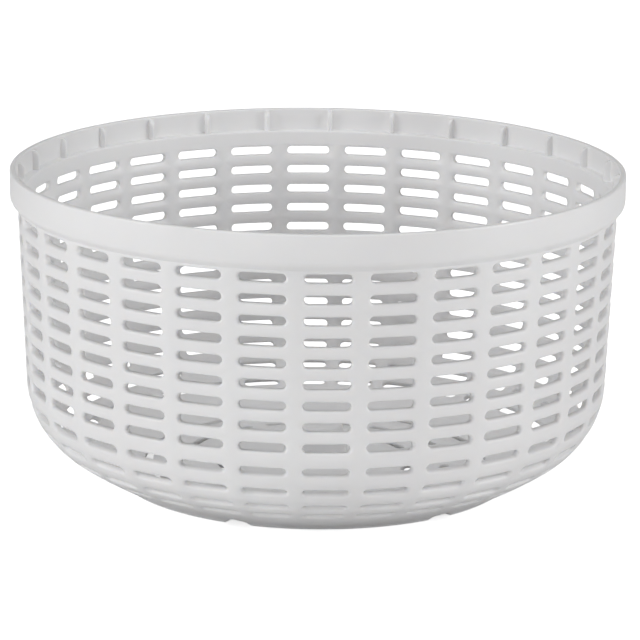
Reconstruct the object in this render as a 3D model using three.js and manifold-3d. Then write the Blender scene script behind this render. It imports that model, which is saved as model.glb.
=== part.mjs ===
// The spinning basket of a salad spinner: a perforated polypropylene basket with a stepped rim,
// and the snap-in bearing cup under its floor that it turns on.
// Millimetres, +Z up. The origin is on the spin axis, in the plane that the foot ring stands on.
// Angles run anticlockwise seen from above and start at -Y, where a column of slots is centred.
import * as THREE from 'three';
import { mergeGeometries, mergeVertices } from 'three/addons/utils/BufferGeometryUtils.js';
import Module from 'manifold-3d';

const wasm = await Module();
wasm.setup();

// ---------------------------------------------------------------- driving dimensions
const HEIGHT = 124;
const RIM_RADIUS = 120;
const WALL_THICKNESS = 2.7;

// Rim band: a vertical band that stands out from the wall, with a ledge and small fins inside it.
const BAND_HEIGHT = 11.5;
const BAND_THICKNESS = 2.4;
const BAND_CHAMFER = 2.8;
const LEDGE_DEPTH = 9;
const RIB_COUNT = 28;
const RIB_PHASE = 8.44;
const RIB_THICKNESS = 1.6;
const RIB_LENGTH = 2.7;
const RIB_TOP_GAP = 1.3;

// Wall: a cone, then a round corner, then a shallow bottom curve that runs to the foot.
const WALL_TOP_RADIUS = 117;
const WALL_TOP_DEPTH = BAND_HEIGHT + BAND_CHAMFER;
const CONE_HEIGHT = 69.75;
const CONE_TILT = 2.4;
const CORNER_RADIUS = 34.3;
const CORNER_TILT = 56;
const BOTTOM_RADIUS = 160;

// Slots in the wall: straight rows on the cone, wider spaced rows round the corner. A slot is
// SLOT_WIDTH long, but never more than SLOT_HALF_ANGLE to either side of its column.
const COLUMN_COUNT = 30;
const SLOT_WIDTH = 17.96;
const SLOT_HALF_ANGLE = 4.5;
const SLOT_HEIGHT = 3.4;
const FIRST_ROW = 2.93;
const CONE_ROWS = 9;
const CONE_ROW_PITCH = 8.11;
const CORNER_ROWS = 4;
const CORNER_ROW_PITCH = 9.8;

// Foot ring and the drain notches across it.
const FOOT_RADIUS = 77.8;
const FOOT_WIDTH = 3.2;
const FOOT_ROUND = 0.9;
const NOTCH_COUNT = 6;
const NOTCH_PHASE = 36;
const NOTCH_WIDTH = 10.4;
const NOTCH_HEIGHT = 2.8;

// Floor: flat, with rings of slots. Each ring is [radius, slot count].
const FLOOR_BOTTOM = 3;
const FLOOR_RINGS = [[66, 15], [52, 15], [38, 15]];
const FLOOR_SLOT_SHARE = 0.72;
const FLOOR_SEAM_RADIUS = 80;

// Hub: a dome on the floor over a cavity that holds the bearing cup behind a snap lip.
const HUB_RADIUS = 13;
const HUB_TOP_RADIUS = 10.6;
const HUB_TOP = 21;
const HUB_ROOF = 2;
const HUB_BOTTOM = 2.4;
const SNAP_LIP_HEIGHT = 1.6;

// Bearing cup, with its running clearance in the hub and the socket for a spindle.
const CUP_RADIUS = 8;
const CUP_NECK_RADIUS = 6.9;
const CUP_TOP = 18;
const CUP_FLANGE_RADIUS = 10.5;
const CUP_FLANGE_HEIGHT = 1.3;
const CUP_BOTTOM = 0.7;
const CLEARANCE = 0.3;
const SOCKET_RADIUS = 4;
const SOCKET_END_RADIUS = 3.2;
const SOCKET_DEPTH = 12;

// How deep a fin is sunk into the shapes it joins, how near two corners are welded, and the facets
// round each turned shape.
const SINK = 0.3;
const WELD = 1e-3;
const WALL_SEGMENTS = COLUMN_COUNT;
const RIM_SEGMENTS = 60;
const HUB_SEGMENTS = 32;

// ---------------------------------------------------------------- small helpers
const radians = THREE.MathUtils.degToRad;

/** Turn a closed geometry into a solid for joining and cutting. */
function solidOf(geometry) {
  geometry.deleteAttribute('normal');
  geometry.deleteAttribute('uv');
  const welded = mergeVertices(geometry, WELD);
  return new wasm.Manifold(new wasm.Mesh({
    numProp: 3,
    vertProperties: Float32Array.from(welded.attributes.position.array),
    triVerts: Uint32Array.from(welded.index.array),
  }));
}

/** Turn a solid back into a geometry with flat faces. */
function geometryOf(solid) {
  const mesh = solid.getMesh();
  const geometry = new THREE.BufferGeometry();
  geometry.setAttribute('position', new THREE.BufferAttribute(mesh.vertProperties, 3));
  geometry.setIndex(new THREE.BufferAttribute(mesh.triVerts, 1));
  return geometry;
}

/** Spin a profile of [radius, height] points about Z; it runs up the outside and back inside. */
function turned(profile, segments, startAngle = 0) {
  const points = profile.map(([radius, height]) => new THREE.Vector2(radius, height));
  return new THREE.LatheGeometry(points, segments, radians(startAngle)).rotateX(Math.PI / 2);
}

/** The matrix of a place on a turned surface: X along the turn, Y up the surface, Z outward. */
function surfacePlace(angle, radius, height, tilt) {
  const turn = radians(angle);
  const lean = radians(tilt);
  const along = new THREE.Vector3(Math.cos(turn), Math.sin(turn), 0);
  const out = new THREE.Vector3(
    Math.sin(turn) * Math.cos(lean), -Math.cos(turn) * Math.cos(lean), -Math.sin(lean));
  const up = new THREE.Vector3().crossVectors(out, along);
  return new THREE.Matrix4().makeBasis(along, up, out)
    .setPosition(radius * Math.sin(turn), -radius * Math.cos(turn), height);
}

/** A box centred on a surface place: width along the turn, height up it, reach in and out of it. */
function blockAt(place, width, height, reachIn, reachOut) {
  const box = new THREE.BoxGeometry(width, height, reachIn + reachOut);
  box.translate(0, 0, (reachOut - reachIn) / 2);
  return solidOf(box.applyMatrix4(place));
}

// ---------------------------------------------------------------- the wall's outer line
const WALL_TOP = HEIGHT - WALL_TOP_DEPTH;
const CONE_FOOT = WALL_TOP - CONE_HEIGHT;
const CONE_FOOT_RADIUS = WALL_TOP_RADIUS - CONE_HEIGHT * Math.tan(radians(CONE_TILT));
const CONE_LENGTH = CONE_HEIGHT / Math.cos(radians(CONE_TILT));
const CORNER_LENGTH = CORNER_RADIUS * radians(CORNER_TILT - CONE_TILT);

/** A point on an arc that starts at [radius, height] with one tilt and has turned to another. */
function arcPoint([radius, height], arcRadius, fromTilt, toTilt) {
  const [from, to] = [radians(fromTilt), radians(toTilt)];
  return [
    radius - arcRadius * (Math.cos(from) - Math.cos(to)),
    height - arcRadius * (Math.sin(to) - Math.sin(from)),
  ];
}

/** The wall's outer point at a length down from the wall's top: radius, height and tilt. */
function wallPoint(length) {
  if (length <= CONE_LENGTH) {
    const drop = length * Math.cos(radians(CONE_TILT));
    const radius = WALL_TOP_RADIUS - drop * Math.tan(radians(CONE_TILT));
    return { radius, height: WALL_TOP - drop, tilt: CONE_TILT };
  }
  const coneFoot = [CONE_FOOT_RADIUS, CONE_FOOT];
  const turn = THREE.MathUtils.radToDeg((length - CONE_LENGTH) / CORNER_RADIUS);
  if (length <= CONE_LENGTH + CORNER_LENGTH) {
    const tilt = CONE_TILT + turn;
    const [radius, height] = arcPoint(coneFoot, CORNER_RADIUS, CONE_TILT, tilt);
    return { radius, height, tilt };
  }
  const cornerFoot = arcPoint(coneFoot, CORNER_RADIUS, CONE_TILT, CORNER_TILT);
  const tilt = CORNER_TILT
    + THREE.MathUtils.radToDeg((length - CONE_LENGTH - CORNER_LENGTH) / BOTTOM_RADIUS);
  const [radius, height] = arcPoint(cornerFoot, BOTTOM_RADIUS, CORNER_TILT, tilt);
  return { radius, height, tilt };
}

/** The length down the wall at which its outer line has come in to the foot ring. */
function lengthToFoot() {
  let [low, high] = [CONE_LENGTH, CONE_LENGTH + CORNER_LENGTH + FOOT_RADIUS];
  for (let step = 0; step < 40; step += 1) {
    const middle = (low + high) / 2;
    if (wallPoint(middle).radius > FOOT_RADIUS) low = middle;
    else high = middle;
  }
  return low;
}

/** The length down the wall to the middle of a row of slots. */
function rowLength(row) {
  const coneRows = Math.min(row, CONE_ROWS - 1);
  return FIRST_ROW + coneRows * CONE_ROW_PITCH + (row - coneRows) * CORNER_ROW_PITCH;
}

/** Wall points from the top to the foot. Round the corner they lie midway between two rows. */
function wallLine() {
  const line = [wallPoint(0), wallPoint(CONE_LENGTH)];
  for (let row = CONE_ROWS; row < CONE_ROWS + CORNER_ROWS; row += 1) {
    line.push(wallPoint(rowLength(row) + CORNER_ROW_PITCH / 2));
  }
  line.push(wallPoint(lengthToFoot()));
  return line;
}

/** The point one wall thickness inside an outer point. */
function innerPoint({ radius, height, tilt }) {
  return [
    radius - WALL_THICKNESS * Math.cos(radians(tilt)),
    height + WALL_THICKNESS * Math.sin(radians(tilt)),
  ];
}

// ---------------------------------------------------------------- basket
const FLOOR_TOP = FLOOR_BOTTOM + WALL_THICKNESS;
const LEDGE_HEIGHT = HEIGHT - LEDGE_DEPTH;
const BAND_INNER = RIM_RADIUS - BAND_THICKNESS;
const LEDGE_INNER = WALL_TOP_RADIUS - WALL_THICKNESS;
// Flat facets cut inside the true circle, so their corners stand a little outside it.
const FULLNESS = 2 / (1 + Math.cos(Math.PI / WALL_SEGMENTS));

/** One wall's ring: cone, corner and foot, with one column of slots cut through at -Y. */
function slottedOnce() {
  const line = wallLine();
  const inside = line.map(innerPoint).filter(([radius]) => radius > FLOOR_SEAM_RADIUS);
  const outside = line.map(({ radius, height }) => [radius, height]).reverse();
  const foot = [
    [FOOT_RADIUS - FOOT_WIDTH, FLOOR_BOTTOM],
    [FOOT_RADIUS - FOOT_WIDTH, 0],
    [FOOT_RADIUS - FOOT_ROUND, 0],
  ];
  const [lastRadius, lastHeight] = inside.at(-1);
  const toFloor = (lastHeight - FLOOR_TOP) * Math.tan(radians(CORNER_TILT));
  const profile = [
    ...foot,
    ...outside,
    ...inside,
    [lastRadius - toFloor, FLOOR_TOP],
    [FOOT_RADIUS - FOOT_WIDTH, FLOOR_TOP],
    foot[0],
  ].map(([radius, height]) => [radius * FULLNESS, height]);
  const ring = solidOf(turned(profile, WALL_SEGMENTS, 180 / WALL_SEGMENTS));
  return ring.subtract(wasm.Manifold.union(slotColumn()));
}

/** The whole wall: the facet that holds the cut column, repeated all the way round. */
function slottedWall() {
  const cut = geometryOf(slottedOnce()).toNonIndexed().attributes.position;
  const halfFacet = Math.tan(Math.PI / WALL_SEGMENTS);
  const facet = [];
  for (let corner = 0; corner < cut.count; corner += 3) {
    let [x, y] = [0, 0];
    for (let index = corner; index < corner + 3; index += 1) {
      x += cut.getX(index);
      y += cut.getY(index);
    }
    if (y < 0 && Math.abs(x) < -y * halfFacet) {
      for (let index = corner; index < corner + 3; index += 1) {
        facet.push(cut.getX(index), cut.getY(index), cut.getZ(index));
      }
    }
  }
  const facets = [];
  for (let index = 0; index < WALL_SEGMENTS; index += 1) {
    const copy = new THREE.BufferGeometry();
    copy.setAttribute('position', new THREE.Float32BufferAttribute(facet, 3));
    facets.push(copy.rotateZ(index * 2 * Math.PI / WALL_SEGMENTS));
  }
  return solidOf(mergeGeometries(facets));
}

/** The floor's disc, out to the foot ring. */
function floorDisc() {
  const edge = (FOOT_RADIUS - FOOT_WIDTH / 2) * FULLNESS;
  return solidOf(turned([
    [0, FLOOR_BOTTOM], [edge, FLOOR_BOTTOM], [edge, FLOOR_TOP], [0, FLOOR_TOP],
  ], WALL_SEGMENTS, 180 / WALL_SEGMENTS));
}

/** Rim band with its chamfer underneath, the lip on top and the ledge inside. */
function rimBand() {
  const bandFoot = HEIGHT - BAND_HEIGHT;
  const profile = [
    [LEDGE_INNER, WALL_TOP],
    [WALL_TOP_RADIUS, WALL_TOP],
    [WALL_TOP_RADIUS + 0.5, WALL_TOP],
    [RIM_RADIUS, bandFoot],
    [RIM_RADIUS, HEIGHT],
    [BAND_INNER, HEIGHT],
    [BAND_INNER, LEDGE_HEIGHT],
    [LEDGE_INNER, LEDGE_HEIGHT],
    [LEDGE_INNER, WALL_TOP],
  ];
  return solidOf(turned(profile, RIM_SEGMENTS));
}

/** The small fins on the ledge that a drive disc's notches drop between. */
function rimRibs() {
  const top = HEIGHT - RIB_TOP_GAP;
  const root = LEDGE_HEIGHT - SINK;
  const ribs = [];
  for (let index = 0; index < RIB_COUNT; index += 1) {
    const place = surfacePlace(RIB_PHASE + index * 360 / RIB_COUNT, BAND_INNER, (top + root) / 2, 0);
    ribs.push(blockAt(place, RIB_THICKNESS, top - root, RIB_LENGTH, SINK));
  }
  return ribs;
}

/** Cutters for one column of slots at -Y, row by row. */
function slotColumn() {
  const cutters = [];
  for (let row = 0; row < CONE_ROWS + CORNER_ROWS; row += 1) {
    const { radius, height, tilt } = wallPoint(rowLength(row));
    const width = Math.min(SLOT_WIDTH, 2 * radius * Math.sin(radians(SLOT_HALF_ANGLE)));
    const place = surfacePlace(0, radius, height, tilt);
    cutters.push(blockAt(place, width, SLOT_HEIGHT, 2 * WALL_THICKNESS, WALL_THICKNESS));
  }
  return cutters;
}

/** Cutters for the rings of slots in the floor. */
function floorSlots() {
  const cutters = [];
  for (const [radius, count] of FLOOR_RINGS) {
    const width = FLOOR_SLOT_SHARE * 2 * Math.PI * radius / count;
    for (let index = 0; index < count; index += 1) {
      const place = surfacePlace(index * 360 / count, radius, FLOOR_BOTTOM, 90);
      cutters.push(blockAt(place, width, SLOT_HEIGHT, 2 * WALL_THICKNESS, WALL_THICKNESS / 2));
    }
  }
  return cutters;
}

/** Cutters for the arched drain notches across the foot ring. */
function footNotches() {
  const archRadius = (NOTCH_WIDTH ** 2 / 4 + NOTCH_HEIGHT ** 2) / (2 * NOTCH_HEIGHT);
  const halfArch = Math.asin(NOTCH_WIDTH / 2 / archRadius);
  const arch = new THREE.Shape();
  arch.absarc(0, NOTCH_HEIGHT - archRadius, archRadius, Math.PI / 2 - halfArch,
    Math.PI / 2 + halfArch, false);
  arch.lineTo(-NOTCH_WIDTH / 2, -1);
  arch.lineTo(NOTCH_WIDTH / 2, -1);
  const reach = 4 * FOOT_WIDTH;
  const cutters = [];
  for (let index = 0; index < NOTCH_COUNT; index += 1) {
    const place = surfacePlace(NOTCH_PHASE + index * 360 / NOTCH_COUNT, FOOT_RADIUS, 0, 0);
    const prism = new THREE.ExtrudeGeometry(arch, { depth: reach, curveSegments: 6,
      bevelEnabled: false });
    cutters.push(solidOf(prism.translate(0, 0, -reach / 2).applyMatrix4(place)));
  }
  return cutters;
}

/** The hub's outside, a low dome on the floor that also reaches a little below it. */
function hubShell() {
  return solidOf(turned([
    [0, HUB_BOTTOM],
    [HUB_RADIUS, HUB_BOTTOM],
    [HUB_RADIUS, FLOOR_TOP],
    [HUB_TOP_RADIUS, HUB_TOP - HUB_ROOF],
    [HUB_TOP_RADIUS - HUB_ROOF, HUB_TOP],
    [0, HUB_TOP],
  ], HUB_SEGMENTS));
}

/** The hub's cavity, with the narrower mouth whose lip holds the cup in. */
function hubCavity() {
  const mouth = CUP_NECK_RADIUS + CLEARANCE;
  const bore = CUP_RADIUS + CLEARANCE;
  const lipTop = HUB_BOTTOM + SNAP_LIP_HEIGHT;
  return solidOf(turned([
    [0, HUB_BOTTOM - 1],
    [mouth, HUB_BOTTOM - 1],
    [mouth, lipTop],
    [bore, lipTop],
    [bore, CUP_TOP + CLEARANCE],
    [0, CUP_TOP + CLEARANCE],
  ], HUB_SEGMENTS));
}

function spinnerBasket() {
  const body = wasm.Manifold.union([slottedWall(), floorDisc(), rimBand(), hubShell(), ...rimRibs()]);
  const cuts = wasm.Manifold.union([...floorSlots(), ...footNotches(), hubCavity()]);
  const material = new THREE.MeshStandardMaterial({ color: 0xe6e5e6, roughness: 0.42, metalness: 0 });
  const basket = new THREE.Mesh(geometryOf(body.subtract(cuts)), material);
  basket.name = 'spinner_basket';
  return basket;
}

// ---------------------------------------------------------------- bearing cup
/** A turned cup: flange under the hub, neck through the snap lip, barrel above, socket below. */
function bearingCup() {
  const flangeTop = CUP_BOTTOM + CUP_FLANGE_HEIGHT;
  const shoulder = HUB_BOTTOM + SNAP_LIP_HEIGHT + CLEARANCE;
  const geometry = turned([
    [0, CUP_BOTTOM + SOCKET_DEPTH + SOCKET_END_RADIUS / 2],
    [SOCKET_END_RADIUS, CUP_BOTTOM + SOCKET_DEPTH],
    [SOCKET_RADIUS, CUP_BOTTOM],
    [CUP_FLANGE_RADIUS, CUP_BOTTOM],
    [CUP_FLANGE_RADIUS, flangeTop],
    [CUP_NECK_RADIUS, flangeTop],
    [CUP_NECK_RADIUS, shoulder],
    [CUP_RADIUS, shoulder],
    [CUP_RADIUS, CUP_TOP - 2],
    [CUP_NECK_RADIUS, CUP_TOP],
    [0, CUP_TOP],
  ], HUB_SEGMENTS);
  const material = new THREE.MeshStandardMaterial({ color: 0xf4f2ea, roughness: 0.35, metalness: 0 });
  const cup = new THREE.Mesh(geometryOf(solidOf(geometry)), material);
  cup.name = 'pivot_bearing_cup';
  return cup;
}

const spinner = new THREE.Group();
spinner.add(spinnerBasket(), bearingCup());

export default spinner;
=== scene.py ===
"""A salad spinner's perforated basket and the bearing cup it spins on, dressed round the CAD frame.

Shapes are worked out in millimetres and go into their meshes in metres. Angles run anticlockwise
seen from above and start at -Y, where a column of slots is centred.
"""
import math

import bmesh
import bpy
import numpy as np
from mathutils import Matrix, Vector


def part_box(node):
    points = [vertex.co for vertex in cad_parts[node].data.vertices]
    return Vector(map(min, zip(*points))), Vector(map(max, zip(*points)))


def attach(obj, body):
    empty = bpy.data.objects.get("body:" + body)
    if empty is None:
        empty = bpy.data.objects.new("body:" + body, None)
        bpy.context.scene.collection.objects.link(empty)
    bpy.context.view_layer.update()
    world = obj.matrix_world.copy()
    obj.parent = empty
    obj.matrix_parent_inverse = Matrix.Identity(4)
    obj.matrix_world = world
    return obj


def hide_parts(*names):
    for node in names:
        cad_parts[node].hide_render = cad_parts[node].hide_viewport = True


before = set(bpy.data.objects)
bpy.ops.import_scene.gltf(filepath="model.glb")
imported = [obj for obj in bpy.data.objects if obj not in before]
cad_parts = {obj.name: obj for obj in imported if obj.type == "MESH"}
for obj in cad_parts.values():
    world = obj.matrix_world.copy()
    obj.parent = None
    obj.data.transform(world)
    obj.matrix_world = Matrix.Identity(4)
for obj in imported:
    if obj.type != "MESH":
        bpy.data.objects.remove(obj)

MM = 0.001
TURN = 2 * math.pi
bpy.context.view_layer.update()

# ------------------------------------------------------------------ driving dimensions, mm
BASKET_HIGH = np.array(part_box("spinner_basket")[1]) / MM
CUP_LOW, CUP_HIGH = (np.array(corner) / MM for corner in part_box("pivot_bearing_cup"))
HEIGHT = BASKET_HIGH[2]
RIM_RADIUS = BASKET_HIGH[0]
WALL_THICKNESS = 2.7

# Rim band, with its chamfer outside, its ledge inside and the fins that stand on the ledge.
BAND_HEIGHT = 11.5
BAND_CHAMFER = 2.8
CHAMFER_START_OUT, CHAMFER_START_UP, CHAMFER_ROUND = 0.05, 0.2, 0.1
BAND_THICKNESS = 2.4
BAND_ROUND = 1.5
LEDGE_DEPTH = 9.0
LEDGE_ROUND = 0.5
LEDGE_FACE = 4.0
FIN_COUNT = 28
FIN_PHASE = 8.44
FIN_LENGTH = 2.7
FIN_HALF_THICKNESS = 0.8
FIN_TOP_GAP = 0.9
FIN_SHOULDER = 2.3
LIP_OUTER_ROUND = 0.8
LIP_INNER_ROUND = 0.7
LIP_FLAT = 0.2
# Places across a fin, in half thicknesses, its rise at each, and the points up to the next fin.
FIN_PLACES = (-1.5, -1.12, -0.98, -0.7, 0, 0.7, 0.98, 1.12, 1.5)
FIN_RISE = (0, 0.08, 0.85, 0.97, 1, 0.97, 0.85, 0.08, 0)
BETWEEN_FINS = 5

# Wall: a cone, a round corner and a shallow bottom curve, each tangent to the last.
WALL_TOP_RADIUS = 117.0
WALL_TOP = HEIGHT - BAND_HEIGHT - BAND_CHAMFER
CONE_TILT = math.radians(2.4)
CONE_HEIGHT = 69.75
CONE_LENGTH = CONE_HEIGHT / math.cos(CONE_TILT)
CORNER_RADIUS = 34.3
CORNER_TILT = math.radians(56)
CORNER_LENGTH = CORNER_RADIUS * (CORNER_TILT - CONE_TILT)
BOTTOM_RADIUS = 160.0

# Slots in the wall.
COLUMN_COUNT = 30
SLOT_HALF_WIDTH = 8.98
SLOT_HALF_ANGLE = math.radians(4.5)
SLOT_HEIGHT = 3.4
SLOT_END_ROUND = 1.65
SLOT_ROUND_ACROSS = 1.15
SLOT_ROUND_UP = 0.8
SLOT_ROUND_DEPTH = 0.9
SLOT_INNER_ROUND = 0.35
FIRST_ROW = 2.93
CONE_ROWS = 9
CONE_ROW_PITCH = 8.11
CORNER_ROWS = 4
CORNER_ROW_PITCH = 9.8
TOP_BORDER = 0.1

# Foot ring, its drain notches, and the floor with its rings of slots.
FOOT_RADIUS = 77.8
FOOT_WIDTH = 3.2
FOOT_ROUND = 0.5
# Lengths above the wall's foot: where the plain strip ends, and the stretch that notches may cut.
STRIP_END = 9.0
NOTCHED_START = 7.5
NOTCHED_END = 0.7
NOTCH_COUNT = 6
NOTCH_PHASE = 36.0
NOTCH_HALF_WIDTH = 6.3
NOTCH_HEIGHT = 3.2
FLOOR_BOTTOM = 3.0
FLOOR_TOP = FLOOR_BOTTOM + WALL_THICKNESS
FLOOR_SEAM = 73.4
FLOOR_FILLET = 1.2
FOOT_FILLET = 0.6
FLOOR_RINGS = (66.0, 52.0, 38.0)
FLOOR_RING_PITCH = 14.0
FLOOR_COLUMNS = 15
FLOOR_SLOT_SHARE = 0.72

# Hub, and the cavity in it that the bearing cup snaps into.
HUB_RADIUS = 13.0
HUB_TOP_RADIUS = 10.6
HUB_TOP = 21.0
HUB_FILLET = 2.0
HUB_ROUND = 2.4
DIMPLE_RADIUS = 1.9
DIMPLE_DEPTH = 0.4
DIMPLE_SLOPE = 0.3
HUB_BOTTOM = 2.4
SNAP_LIP_TOP = 4.0
CUP_NECK_RADIUS = 6.9
CUP_RADIUS = 8.0
CUP_TOP = CUP_HIGH[2]
CUP_BOTTOM = CUP_LOW[2]
CUP_FLANGE_RADIUS = CUP_HIGH[0]
CUP_FLANGE_TOP = CUP_BOTTOM + 1.3
CUP_SHOULDER = 2.0
SOCKET_RADIUS = 4.0
SOCKET_END_RADIUS = 3.2
SOCKET_DEPTH = 12.0
CUP_SIDES = 72
CLEARANCE = 0.3
# How far the small edges of the hub and the cup are rounded.
FINE, SMALL, MEDIUM, COARSE = 0.2, 0.3, 0.4, 0.5


# ------------------------------------------------------------------ meshes
class Skin:
    """Gathers patches of four-cornered faces and welds them into one closed mesh."""

    def __init__(self):
        self.points = []
        self.faces = []
        self.count = 0

    def _add(self, points, faces):
        self.points.append(points.reshape(-1, 3))
        self.faces.append(faces.reshape(-1, 4) + self.count)
        self.count += self.points[-1].shape[0]

    def grid(self, points):
        """Faces between neighbouring rings of points[ring, place]; each ring closes on itself."""
        rings, places = points.shape[:2]
        index = np.arange(rings * places).reshape(rings, places)
        turned = np.roll(index, -1, axis=1)
        self._add(points, np.stack([index[:-1], turned[:-1], turned[1:], index[1:]], axis=-1))

    def cells(self, points):
        """The same for points[cell, ring, place]: every cell is a stack of closed rings."""
        cells, rings, places = points.shape[:3]
        index = np.arange(cells * rings * places).reshape(cells, rings, places)
        turned = np.roll(index, -1, axis=2)
        self._add(points, np.stack(
            [index[:, :-1], turned[:, :-1], turned[:, 1:], index[:, 1:]], axis=-1))

    def zipper(self, first, first_angles, second, second_angles):
        """Triangles between two rings whose points lie at different angles.

        Going round, each step along one ring is joined to the point last passed on the other.
        """
        start = first_angles[0]
        order = np.argsort((second_angles - start) % TURN)
        second, passed_second = second[order], (second_angles[order] - start) % TURN
        passed_first = first_angles - start
        a, b = len(first), len(second)
        near_b = (np.searchsorted(passed_second, np.append(passed_first[1:], TURN)) - 1) % b + a
        near_a = np.searchsorted(passed_first, passed_second, side="right") - 1
        step_a, step_b = np.arange(a), np.arange(b)
        along_a = np.stack([step_a, (step_a + 1) % a, near_b, near_b], axis=-1)
        along_b = np.stack([(step_b - 1) % b + a, near_a, near_a, step_b + a], axis=-1)
        self._add(np.concatenate([first, second]), np.concatenate([along_a, along_b]))

    def mesh(self, name, weld=1e-4, sharp=50):
        """Welds points on a grid of weld mm, drops faces shrunk to a line, faces the rest outward."""
        points = np.concatenate(self.points)
        faces = np.concatenate(self.faces)
        steps = np.round(points / weld).astype(np.int64)
        kept, same = np.unique(steps, axis=0, return_index=True, return_inverse=True)[1:]
        points, faces = points[kept], same.reshape(-1)[faces]
        corner = faces != np.roll(faces, 1, axis=1)
        faces, corner = faces[corner.sum(axis=1) >= 3], corner[corner.sum(axis=1) >= 3]
        sizes = corner.sum(axis=1)
        mesh = bpy.data.meshes.new(name)
        mesh.vertices.add(len(points))
        mesh.vertices.foreach_set("co", (points * MM).ravel())
        mesh.loops.add(int(sizes.sum()))
        mesh.loops.foreach_set("vertex_index", faces[corner])
        mesh.polygons.add(len(faces))
        mesh.polygons.foreach_set("loop_start", np.concatenate([[0], np.cumsum(sizes)[:-1]]))
        mesh.update(calc_edges=True)
        mesh.validate()
        shell = bmesh.new()
        shell.from_mesh(mesh)
        bmesh.ops.recalc_face_normals(shell, faces=shell.faces)
        if shell.calc_volume(signed=True) < 0:
            bmesh.ops.reverse_faces(shell, faces=shell.faces)
        shell.to_mesh(mesh)
        shell.free()
        mesh.polygons.foreach_set("use_smooth", np.ones(len(mesh.polygons), dtype=bool))
        mesh.set_sharp_from_angle(angle=math.radians(sharp))
        return mesh


def spun(radius, height, angle):
    """Points at a radius and height, turned by an angle from -Y: (r sin a, -r cos a, z)."""
    radius, height, angle = np.broadcast_arrays(radius, height, angle)
    return np.stack([radius * np.sin(angle), -radius * np.cos(angle), height], axis=-1)


def rounded(corners, steps=4):
    """A path of [radius, height] through corners (radius, height, round), each one rounded off.

    A corner becomes the quadratic curve (1-t)^2 A + 2t(1-t) C + t^2 B, where C is the corner and
    A and B lie on its two sides, its round away from it.
    """
    places = np.array([corner[:2] for corner in corners])
    path = [places[0]]
    for before, (*place, size), after in zip(places[:-2], corners[1:-1], places[2:]):
        place = np.array(place)
        into = place + size * (before - place) / np.linalg.norm(before - place)
        out = place + size * (after - place) / np.linalg.norm(after - place)
        t = np.linspace(0, 1, steps + 1)[:, None] if size else np.array([[0.5]])
        path.extend((1 - t) ** 2 * into + 2 * t * (1 - t) * place + t ** 2 * out)
    path.append(places[-1])
    return np.array(path)


def spin_path(path, angles):
    """Rings of points: every [radius, height] of a path, turned to every angle."""
    return spun(path[:, :1], path[:, 1:], angles[None, :])


# ------------------------------------------------------------------ the wall as a bent sheet
def wall_line(length):
    """The wall's outer line: radius, height and tilt at a length down from its top.

    It runs straight for CONE_LENGTH at CONE_TILT, then turns on an arc of CORNER_RADIUS up to
    CORNER_TILT, then on an arc of BOTTOM_RADIUS.
    """
    length = np.asarray(length, dtype=float)
    straight = np.minimum(length, CONE_LENGTH)
    tilt_1 = CONE_TILT + np.clip(length - CONE_LENGTH, 0, CORNER_LENGTH) / CORNER_RADIUS
    tilt_2 = tilt_1 + np.maximum(length - CONE_LENGTH - CORNER_LENGTH, 0) / BOTTOM_RADIUS
    radius = (WALL_TOP_RADIUS - straight * math.sin(CONE_TILT)
              - CORNER_RADIUS * (math.cos(CONE_TILT) - np.cos(tilt_1))
              - BOTTOM_RADIUS * (np.cos(tilt_1) - np.cos(tilt_2)))
    height = (WALL_TOP - straight * math.cos(CONE_TILT)
              - CORNER_RADIUS * (np.sin(tilt_1) - math.sin(CONE_TILT))
              - BOTTOM_RADIUS * (np.sin(tilt_2) - np.sin(tilt_1)))
    return radius, height, tilt_2


def floor_line(length):
    """The floor's underside as a line of the same kind: level, running in to the axis."""
    length = np.asarray(length, dtype=float)
    edge = FLOOR_RINGS[0] + FLOOR_RING_PITCH / 2
    return edge - length, np.full_like(length, FLOOR_BOTTOM), np.full_like(length, math.pi / 2)


def sheet_point(line, length, angle, depth):
    """A point at a depth inside the sheet's outer face: line - depth * (cos tilt, -sin tilt)."""
    radius, height, tilt = line(length)
    return spun(radius - depth * np.cos(tilt), height + depth * np.sin(tilt), angle)


# Where a cell's top edge has its points, from one pillar's middle to the next.
EDGE_PLACES = np.array([-1, -0.84, -0.66, 0, 0.66, 0.84, 1])
SIDE_PLACES = np.linspace(-1, 1, 3)


def cell_rim(half_width, above, below):
    """A cell's rectangle as closed points (across, down), clockwise from its top left."""
    across = half_width * EDGE_PLACES
    down = np.interp(SIDE_PLACES, (-1, 1), (-above, below))
    top = np.stack([across[:-1], np.full_like(across[:-1], -above)], axis=-1)
    right = np.stack([np.full_like(down[:-1], half_width), down[:-1]], axis=-1)
    bottom = np.stack([across[:0:-1], np.full_like(across[:-1], below)], axis=-1)
    left = np.stack([np.full_like(down[:-1], -half_width), down[:0:-1]], axis=-1)
    return np.concatenate([top, right, bottom, left])


def slot_rim(half_width, half_height, end_round):
    """A slot's outline, with as many points as a cell's rectangle.

    Its ends are half ellipses, end_round * cos a across by half_height * sin a up.
    """
    straight = half_width - end_round
    a = np.radians([30, 60, 90])
    ends = straight + end_round * np.cos(a)
    top = np.stack([np.concatenate([-ends, [0], ends[::-1]])[:-1],
                    -half_height * np.concatenate([np.sin(a), [1], np.sin(a[::-1])])[:-1]], axis=-1)
    turn = np.radians([30, 0])
    side = np.stack([straight + end_round * np.cos(turn), -half_height * np.sin(turn)], axis=-1)
    return np.concatenate([top, side, -top, -side])


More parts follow.
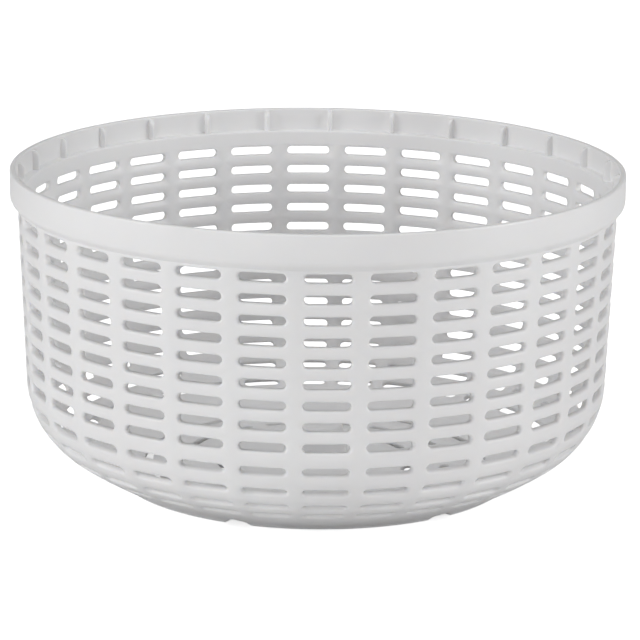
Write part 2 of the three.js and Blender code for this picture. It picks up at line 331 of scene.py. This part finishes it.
def slot_cells(line, centre, above, below, columns, half_width):
    """One ring of slotted cells, from the sheet's outer face through each slot to its inner face.

    The outer edge of a slot is a quarter ellipse, wider across than up, its inner edge a bevel.
    """
    radius = float(line(centre)[0])
    half_cell = math.pi / columns
    quarter = np.radians([0, 45, 90])
    across = [*(SLOT_ROUND_ACROSS * (1 - np.sin(quarter))), 0, SLOT_INNER_ROUND]
    up = [*(SLOT_ROUND_UP * (1 - np.sin(quarter))), 0, SLOT_INNER_ROUND]
    depths = [0, *(SLOT_ROUND_DEPTH * (1 - np.cos(quarter))), WALL_THICKNESS - SLOT_INNER_ROUND,
              WALL_THICKNESS, WALL_THICKNESS]
    rect = cell_rim(half_cell * radius, above, below)
    rims = [slot_rim(half_width + wider, SLOT_HEIGHT / 2 + taller, SLOT_END_ROUND + wider)
            for wider, taller in zip(across, up)]
    rings = np.stack([rect, *rims, rect])
    depth = np.array(depths)[:, None]
    start = np.arange(columns)[:, None, None] * 2 * half_cell
    angle = start + rings[None, :, :, 0] / radius
    length = np.broadcast_to(centre + rings[None, :, :, 1], angle.shape)
    return sheet_point(line, length, angle, np.broadcast_to(depth, angle.shape))


def cell_angles(columns):
    """The angles at which a ring of cells has points along its top and bottom."""
    half_cell = math.pi / columns
    starts = np.arange(columns)[:, None] * 2 * half_cell
    return (starts + EDGE_PLACES[None, :-1] * half_cell).ravel()


# ------------------------------------------------------------------ basket
def row_length(row):
    """The length down the wall to the middle of a row of slots."""
    cone_row = min(row, CONE_ROWS - 1)
    return FIRST_ROW + cone_row * CONE_ROW_PITCH + (row - cone_row) * CORNER_ROW_PITCH


def add_wall(skin):
    """Every row of slots. A row's cells meet the next row's midway; returns the last border."""
    rows = CONE_ROWS + CORNER_ROWS
    middles = [row_length(row) for row in range(rows)]
    borders = [TOP_BORDER]
    borders += [(one + two) / 2 for one, two in zip(middles[:-1], middles[1:])]
    borders.append(middles[-1] + CORNER_ROW_PITCH / 2)
    for middle, above, below in zip(middles, borders[:-1], borders[1:]):
        half_width = min(SLOT_HALF_WIDTH, float(wall_line(middle)[0]) * math.sin(SLOT_HALF_ANGLE))
        skin.cells(slot_cells(wall_line, middle, middle - above, below - middle,
                              COLUMN_COUNT, half_width))
    return borders[-1]


def fin_angles():
    """Angles round the rim's inside, close together over each fin, and the fin's rise at each."""
    pitch = TURN / FIN_COUNT
    over_fin = FIN_HALF_THICKNESS * np.array(FIN_PLACES) / (RIM_RADIUS - BAND_THICKNESS)
    between = np.linspace(over_fin[-1], pitch + over_fin[0], BETWEEN_FINS + 2)[1:-1]
    one = np.concatenate([over_fin, between])
    starts = math.radians(FIN_PHASE) + np.arange(FIN_COUNT)[:, None] * pitch
    return (starts + one).ravel(), np.tile(np.append(FIN_RISE, np.zeros(BETWEEN_FINS)), FIN_COUNT)


def add_rim(skin):
    """Chamfer, band, lip, finned inside and ledge, from the wall's outer face to its inner one.

    A fin's shoulder is a quarter ellipse: it reaches in by FIN_LENGTH * sin a as it drops by
    FIN_SHOULDER * (1 - cos a).
    """
    angles = cell_angles(COLUMN_COUNT)
    fin_at, fin_rise = fin_angles()
    band_inner = RIM_RADIUS - BAND_THICKNESS
    lip_middle = RIM_RADIUS - BAND_THICKNESS / 2
    ledge = HEIGHT - LEDGE_DEPTH
    wall_inner = WALL_TOP_RADIUS - WALL_THICKNESS
    outside = rounded([
        (*(float(value) for value in wall_line(TOP_BORDER)[:2]), 0),
        (WALL_TOP_RADIUS + CHAMFER_START_OUT, WALL_TOP + CHAMFER_START_UP, CHAMFER_ROUND),
        (RIM_RADIUS, HEIGHT - BAND_HEIGHT, BAND_ROUND),
        (RIM_RADIUS, HEIGHT, LIP_OUTER_ROUND),
        (lip_middle + LIP_FLAT, HEIGHT, 0),
    ])
    skin.grid(spin_path(outside, angles))

    lip = rounded([(lip_middle - LIP_FLAT, HEIGHT, 0), (band_inner, HEIGHT, LIP_INNER_ROUND),
                   (band_inner, HEIGHT - FIN_TOP_GAP + 0.05, 0)])
    turn = np.radians([0, 18, 36, 54, 72, 90])
    full = np.sin(turn)
    tops = HEIGHT - FIN_TOP_GAP - FIN_SHOULDER * (1 - np.cos(turn))
    face = np.stack([np.full_like(tops, band_inner), tops], axis=-1)
    shelf = rounded([(band_inner, ledge + LEDGE_FACE, 0), (band_inner, ledge, LEDGE_ROUND),
                     (wall_inner, ledge, LEDGE_ROUND), (wall_inner, ledge - 3 * LEDGE_ROUND, 0)])
    inside = np.concatenate([lip, face, shelf])
    share = np.concatenate([np.zeros(len(lip)), full, np.ones(len(shelf))])
    reach = share[:, None] * fin_rise[None, :]
    radius = np.where(reach > 0, np.minimum(inside[:, :1], band_inner - FIN_LENGTH * reach),
                      inside[:, :1])
    skin.grid(spun(radius, inside[:, 1:], fin_at[None, :]))
    skin.zipper(spin_path(outside[-1:], angles)[0], angles, spin_path(lip[:1], fin_at)[0], fin_at)

    last = spin_path(shelf[-1:], fin_at)[0]
    inner_top = sheet_point(wall_line, TOP_BORDER, angles, WALL_THICKNESS)
    skin.zipper(inner_top, angles, last, fin_at)


def notch_rise(angle):
    """How high the foot is cut away: NOTCH_HEIGHT * cos^2(pi u / 2w), at u from a notch's middle.

    It is zero beyond w, the notch's half width.
    """
    pitch = TURN / NOTCH_COUNT
    off = (angle - math.radians(NOTCH_PHASE) + pitch / 2) % pitch - pitch / 2
    share = np.clip(off * FOOT_RADIUS / NOTCH_HALF_WIDTH, -1, 1)
    return NOTCH_HEIGHT * np.cos(share * math.pi / 2) ** 2


def notch_angles():
    """The wall's angles, four times as close in the columns that have a notch."""
    angles = cell_angles(COLUMN_COUNT)
    closer = (angles[:, None] + np.diff(angles, append=angles[0] + TURN)[:, None]
              * np.linspace(0, 1, 5)[None, :-1]).ravel()
    keep = (np.arange(closer.size) % 4 == 0) | (notch_rise(closer) > 0)
    return closer[keep]


def foot_length():
    """The length down the wall at which its line is in to the foot, by halving."""
    low, high = CONE_LENGTH + CORNER_LENGTH, CONE_LENGTH + CORNER_LENGTH + FOOT_RADIUS
    for _ in range(40):
        middle = (low + high) / 2
        low, high = (middle, high) if wall_line(middle)[0] > FOOT_RADIUS else (low, middle)
    return low


def add_foot(skin, border):
    """The plain strip under the last row, the notched foot, and both faces in to the floor."""
    angles = cell_angles(COLUMN_COUNT)
    close = notch_angles()
    floor_at = cell_angles(FLOOR_COLUMNS)
    end = foot_length()
    strip = np.linspace(border, end - STRIP_END, 3)
    near_foot = np.linspace(end - NOTCHED_START, end - NOTCHED_END, 6)
    skin.grid(sheet_point(wall_line, strip[:, None], angles[None, :], 0))

    slope = np.stack(wall_line(near_foot)[:2], axis=-1)
    foot_inner = FOOT_RADIUS - FOOT_WIDTH
    toe = rounded([(*slope[-1], 0), (FOOT_RADIUS, 0, FOOT_ROUND), (foot_inner, 0, FOOT_ROUND),
                   (foot_inner, FLOOR_BOTTOM, FOOT_FILLET), (FLOOR_SEAM, FLOOR_BOTTOM, 0)])
    path = np.concatenate([slope, toe[1:]])
    cut = path[:, :1] > FLOOR_SEAM
    height = np.where(cut, np.maximum(path[:, 1:], notch_rise(close)[None, :]), path[:, 1:])
    skin.grid(spun(path[:, :1], height, close[None, :]))
    skin.zipper(sheet_point(wall_line, strip[-1], angles, 0), angles,
                spin_path(path[:1], close)[0], close)
    skin.zipper(spin_path(path[-1:], close)[0], close,
                sheet_point(floor_line, 0, floor_at, 0), floor_at)

    inner = np.linspace(border, end, 30)
    radius, level, tilt = wall_line(inner)
    line = np.stack([radius - WALL_THICKNESS * np.cos(tilt),
                     level + WALL_THICKNESS * np.sin(tilt)], axis=-1)
    line = line[line[:, 1] > FLOOR_TOP + FLOOR_FILLET / 2][::3]
    step = line[-1] - line[-2]
    edge = line[-1] + step * (line[-1, 1] - FLOOR_TOP) / -step[1]
    bowl = rounded([(*line[-1], 0), (*edge, FLOOR_FILLET), (FLOOR_SEAM, FLOOR_TOP, 0)])
    skin.grid(spin_path(np.concatenate([line, bowl[1:]]), angles))
    skin.zipper(spin_path(bowl[-1:], angles)[0], angles,
                sheet_point(floor_line, 0, floor_at, WALL_THICKNESS), floor_at)


def add_floor(skin):
    """Rings of slotted cells, then both faces in to the hub, its dome and its cavity."""
    for ring, radius in enumerate(FLOOR_RINGS):
        middle = (ring + 0.5) * FLOOR_RING_PITCH
        half = FLOOR_RING_PITCH / 2
        half_width = FLOOR_SLOT_SHARE * math.pi / FLOOR_COLUMNS * radius
        skin.cells(slot_cells(floor_line, middle, half, half, FLOOR_COLUMNS, half_width))
    angles = cell_angles(FLOOR_COLUMNS)
    start = FLOOR_RINGS[-1] - FLOOR_RING_PITCH / 2
    dome = rounded([
        (start, FLOOR_TOP, 0), (HUB_RADIUS, FLOOR_TOP, HUB_FILLET),
        (HUB_TOP_RADIUS, HUB_TOP, HUB_ROUND), (DIMPLE_RADIUS, HUB_TOP, FINE),
        (DIMPLE_RADIUS - DIMPLE_SLOPE, HUB_TOP - DIMPLE_DEPTH, FINE),
        (0, HUB_TOP - DIMPLE_DEPTH, 0),
    ], steps=5)
    skin.grid(spin_path(dome, angles))
    mouth, bore = CUP_NECK_RADIUS + CLEARANCE, CUP_RADIUS + CLEARANCE
    under = rounded([
        (start, FLOOR_BOTTOM, 0), (HUB_RADIUS, FLOOR_BOTTOM, SMALL), (HUB_RADIUS, HUB_BOTTOM, FINE),
        (mouth, HUB_BOTTOM, SMALL), (mouth, SNAP_LIP_TOP, FINE), (bore, SNAP_LIP_TOP, FINE),
        (bore, CUP_TOP + CLEARANCE, COARSE), (0, CUP_TOP + CLEARANCE, 0),
    ], steps=3)
    skin.grid(spin_path(under, angles))


def make_basket():
    """The whole moulding as one closed surface."""
    skin = Skin()
    border = add_wall(skin)
    add_rim(skin)
    add_foot(skin, border)
    add_floor(skin)
    return bpy.data.objects.new("basket_moulding", skin.mesh("basket_moulding"))


def make_bearing_cup():
    """The turned cup: flange, neck behind the hub's lip, barrel, and the spindle's socket."""
    angles = np.linspace(0, TURN, CUP_SIDES + 1)[:-1]
    shoulder = SNAP_LIP_TOP + CLEARANCE
    path = rounded([
        (0, CUP_TOP, 0), (CUP_NECK_RADIUS, CUP_TOP, COARSE),
        (CUP_RADIUS, CUP_TOP - CUP_SHOULDER, SMALL), (CUP_RADIUS, shoulder, FINE),
        (CUP_NECK_RADIUS, shoulder, FINE), (CUP_NECK_RADIUS, CUP_FLANGE_TOP, FINE),
        (CUP_FLANGE_RADIUS, CUP_FLANGE_TOP, MEDIUM), (CUP_FLANGE_RADIUS, CUP_BOTTOM, COARSE),
        (SOCKET_RADIUS, CUP_BOTTOM, MEDIUM), (SOCKET_END_RADIUS, CUP_BOTTOM + SOCKET_DEPTH, MEDIUM),
        (0, CUP_BOTTOM + SOCKET_DEPTH + SOCKET_END_RADIUS / 2, 0),
    ])
    skin = Skin()
    skin.grid(spin_path(path, angles))
    return bpy.data.objects.new("bearing_cup", skin.mesh("bearing_cup"))


# ------------------------------------------------------------------ materials
def new_group(name, inputs, outputs):
    """A shader node group whose sockets are (name, kind, default) and (name, kind)."""
    group = bpy.data.node_groups.new(name, "ShaderNodeTree")
    for label, kind, default in inputs:
        socket = group.interface.new_socket(name=label, in_out="INPUT", socket_type=kind)
        socket.default_value = default
    for label, kind in outputs:
        group.interface.new_socket(name=label, in_out="OUTPUT", socket_type=kind)
    return group, group.nodes.new("NodeGroupInput"), group.nodes.new("NodeGroupOutput")


def moulded_skin_group():
    """Height of a moulded skin: a fine spark-eroded grain mixed with a slow ripple."""
    group, given, result = new_group(
        "moulded_skin",
        [("Grain Scale", "NodeSocketFloat", 900.0), ("Ripple Scale", "NodeSocketFloat", 30.0),
         ("Ripple Share", "NodeSocketFloat", 0.5)],
        [("Height", "NodeSocketFloat")])
    nodes, links = group.nodes, group.links
    place = nodes.new("ShaderNodeTexCoord")
    grain = nodes.new("ShaderNodeTexNoise")
    grain.inputs["Detail"].default_value = 2.0
    ripple = nodes.new("ShaderNodeTexNoise")
    ripple.inputs["Detail"].default_value = 1.0
    mix = nodes.new("ShaderNodeMix")
    links.new(place.outputs["Object"], grain.inputs["Vector"])
    links.new(place.outputs["Object"], ripple.inputs["Vector"])
    links.new(given.outputs["Grain Scale"], grain.inputs["Scale"])
    links.new(given.outputs["Ripple Scale"], ripple.inputs["Scale"])
    links.new(given.outputs["Ripple Share"], mix.inputs["Factor"])
    links.new(grain.outputs["Fac"], mix.inputs["A"])
    links.new(ripple.outputs["Fac"], mix.inputs["B"])
    links.new(mix.outputs["Result"], result.inputs["Height"])
    return group


def tone_drift_group():
    """A mask that drifts slowly over a moulding, for its colour and its sheen."""
    group, given, result = new_group(
        "tone_drift",
        [("Scale", "NodeSocketFloat", 12.0), ("Low", "NodeSocketFloat", 0.0),
         ("High", "NodeSocketFloat", 1.0)],
        [("Value", "NodeSocketFloat")])
    nodes, links = group.nodes, group.links
    place = nodes.new("ShaderNodeTexCoord")
    noise = nodes.new("ShaderNodeTexNoise")
    noise.inputs["Detail"].default_value = 3.0
    spread = nodes.new("ShaderNodeMapRange")
    spread.inputs["From Min"].default_value = 0.35
    spread.inputs["From Max"].default_value = 0.65
    links.new(place.outputs["Object"], noise.inputs["Vector"])
    links.new(given.outputs["Scale"], noise.inputs["Scale"])
    links.new(noise.outputs["Fac"], spread.inputs["Value"])
    links.new(given.outputs["Low"], spread.inputs["To Min"])
    links.new(given.outputs["High"], spread.inputs["To Max"])
    links.new(spread.outputs["Result"], result.inputs["Value"])
    return group


def use_group(nodes, group, **values):
    """Places a group in a material with its own input values."""
    node = nodes.new("ShaderNodeGroup")
    node.node_tree = group
    for label, value in values.items():
        node.inputs[label.replace("_", " ")].default_value = value
    return node


def plastic(name, groups, pale, deep, sheen, grain_scale, bump, through):
    """A moulded plastic: two close tones, a drifting roughness, a fine skin and light inside it."""
    material = bpy.data.materials.new(name)
    material.use_nodes = True
    nodes, links = material.node_tree.nodes, material.node_tree.links
    surface = nodes["Principled BSDF"]
    skin_group, drift_group = groups
    tone = use_group(nodes, drift_group, Scale=9.0, Low=0.0, High=1.0)
    mix = nodes.new("ShaderNodeMix")
    mix.data_type = "RGBA"
    for socket, colour in zip([one for one in mix.inputs if one.type == "RGBA"], (pale, deep)):
        socket.default_value = (*colour, 1)
    mixed = next(one for one in mix.outputs if one.type == "RGBA")
    links.new(tone.outputs["Value"], mix.inputs["Factor"])
    links.new(mixed, surface.inputs["Base Color"])
    rough = use_group(nodes, drift_group, Scale=45.0, Low=sheen[0], High=sheen[1])
    links.new(rough.outputs["Value"], surface.inputs["Roughness"])
    height = use_group(nodes, skin_group, Grain_Scale=grain_scale)
    relief = nodes.new("ShaderNodeBump")
    relief.inputs["Strength"].default_value = bump
    relief.inputs["Distance"].default_value = 0.0002
    links.new(height.outputs["Height"], relief.inputs["Height"])
    links.new(relief.outputs["Normal"], surface.inputs["Normal"])
    surface.inputs["IOR"].default_value = 1.49
    surface.inputs["Subsurface Weight"].default_value = through
    surface.inputs["Subsurface Radius"].default_value = (1.0, 0.85, 0.65)
    surface.inputs["Subsurface Scale"].default_value = 0.003
    return material


def make_materials():
    groups = moulded_skin_group(), tone_drift_group()
    return {
        "basket": plastic("satin_white_polypropylene", groups, pale=(0.83, 0.83, 0.835),
                          deep=(0.79, 0.785, 0.79), sheen=(0.34, 0.44), grain_scale=1400.0,
                          bump=0.12, through=0.15),
        "cup": plastic("natural_acetal", groups, pale=(0.86, 0.85, 0.8),
                       deep=(0.82, 0.8, 0.74), sheen=(0.22, 0.32), grain_scale=2200.0,
                       bump=0.08, through=0.1),
    }


def pale_ground():
    """A seamless sweep, lifted to white where it is looked at and seen through from underneath."""
    material = bpy.data.materials.new("pale_ground")
    material.use_nodes = True
    nodes, links = material.node_tree.nodes, material.node_tree.links
    surface = nodes["Principled BSDF"]
    surface.inputs["Base Color"].default_value = (*(GROUND_TONE,) * 3, 1)
    surface.inputs["Roughness"].default_value = 0.9
    surface.inputs["Specular IOR Level"].default_value = 0.1
    surface.inputs["Emission Color"].default_value = (1, 1, 1, 1)
    looked_at = nodes.new("ShaderNodeLightPath")
    lift = nodes.new("ShaderNodeMath")
    lift.operation = "MULTIPLY"
    lift.inputs[1].default_value = GROUND_LIFT
    links.new(looked_at.outputs["Is Camera Ray"], lift.inputs[0])
    links.new(lift.outputs["Value"], surface.inputs["Emission Strength"])
    side = nodes.new("ShaderNodeNewGeometry")
    clear = nodes.new("ShaderNodeBsdfTransparent")
    choice = nodes.new("ShaderNodeMixShader")
    links.new(side.outputs["Backfacing"], choice.inputs[0])
    links.new(surface.outputs["BSDF"], choice.inputs[1])
    links.new(clear.outputs["BSDF"], choice.inputs[2])
    links.new(choice.outputs["Shader"], nodes["Material Output"].inputs["Surface"])
    return material


# ------------------------------------------------------------------ camera, light and ground
CAMERA_AZIMUTH = -2.15
CAMERA_ELEVATION = 14.18
CAMERA_DISTANCE = 1.5337
CAMERA_LENS = 218.96
CAMERA_ROLL = 0.626
AIM_ACROSS = 0.0014
AIM_HEIGHT = 0.0622

GROUND_GAP = 0.1
GROUND_REACH = 6.0
GROUND_TONE = 0.85
GROUND_LIFT = 0.7
GROUND_POWER = 10
TENT_GLOW = 0.22

# Soft boxes: name, azimuth and elevation in degrees, distance and side in metres, power in watts.
SOFT_BOXES = (
    ("left_box", -70, 20, 1.6, 0.6, 7.9),
    ("right_box", 70, 18, 1.6, 0.6, 9.2),
    ("front_box", -24, 14, 2.2, 0.6, 7.9),
    ("top_box", 0, 84, 1.8, 1.4, 10),
)


def direction(azimuth, elevation):
    """The way out from the axis at an azimuth and elevation: (sin a cos e, -cos a cos e, sin e)."""
    turn, rise = math.radians(azimuth), math.radians(elevation)
    return Vector((math.sin(turn) * math.cos(rise), -math.cos(turn) * math.cos(rise), math.sin(rise)))


def make_camera():
    """A long lens that looks down on the basket, turned a little off the slot columns."""
    turn = math.radians(CAMERA_AZIMUTH)
    right = Vector((math.cos(turn), math.sin(turn), 0))
    back = direction(CAMERA_AZIMUTH, CAMERA_ELEVATION)
    aim = right * AIM_ACROSS + Vector((0, 0, AIM_HEIGHT))
    data = bpy.data.cameras.new("view")
    data.lens = CAMERA_LENS
    data.sensor_width = 36.0
    data.clip_end = 50
    camera = bpy.data.objects.new("view", data)
    up = back.cross(right)
    axes = Matrix((right, up, back)).transposed()
    camera.rotation_euler = (axes @ Matrix.Rotation(math.radians(CAMERA_ROLL), 3, "Z")).to_euler()
    camera.location = aim + back * CAMERA_DISTANCE
    bpy.context.scene.collection.objects.link(camera)
    bpy.context.scene.camera = camera


def soft_light(name, azimuth, elevation, distance, size, power):
    """A square soft box out from the basket's middle, turned to face it; returns the light."""
    out = direction(azimuth, elevation)
    data = bpy.data.lights.new(name, "AREA")
    data.shape = "SQUARE"
    data.size = size
    data.energy = power
    light = bpy.data.objects.new(name, data)
    light.location = out * distance + Vector((0, 0, HEIGHT * MM / 2))
    light.rotation_euler = out.to_track_quat("Z", "Y").to_euler()
    light.visible_camera = False
    bpy.context.scene.collection.objects.link(light)
    return light


def make_studio():
    """A white tent: an even pale surround, soft boxes, and a wash that lights only the floor."""
    scene = bpy.context.scene
    scene.view_settings.view_transform = "Standard"
    world = bpy.data.worlds.new("white_tent")
    world.use_nodes = True
    world.node_tree.nodes["Background"].inputs["Color"].default_value = (1, 1, 1, 1)
    world.node_tree.nodes["Background"].inputs["Strength"].default_value = TENT_GLOW
    scene.world = world
    for box in SOFT_BOXES:
        soft_light(*box)
    ground = bpy.data.meshes.new("pale_floor")
    corners = [(-1, -1), (1, -1), (1, 1), (-1, 1)]
    ground.from_pydata([(x * GROUND_REACH, y * GROUND_REACH, -GROUND_GAP * MM) for x, y in corners],
                       [], [(0, 1, 2, 3)])
    ground.materials.append(pale_ground())
    floor = bpy.data.objects.new("pale_floor", ground)
    scene.collection.objects.link(floor)
    swept = bpy.data.collections.new("ground_only")
    swept.objects.link(floor)
    wash = soft_light("ground_wash", 0, 90, 3.0, 3.0, GROUND_POWER)
    wash.light_linking.receiver_collection = swept


def place_piece(piece, body, node, material):
    """Links a piece into the scene, rides it on its body and lets it stand for its CAD node."""
    bpy.context.scene.collection.objects.link(piece)
    piece.data.materials.append(material)
    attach(piece, body)
    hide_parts(node)


make_camera()
make_studio()
finishes = make_materials()
place_piece(make_basket(), "basket", "spinner_basket", finishes["basket"])
place_piece(make_bearing_cup(), "bearing", "pivot_bearing_cup", finishes["cup"])

bpy.context.view_layer.update()
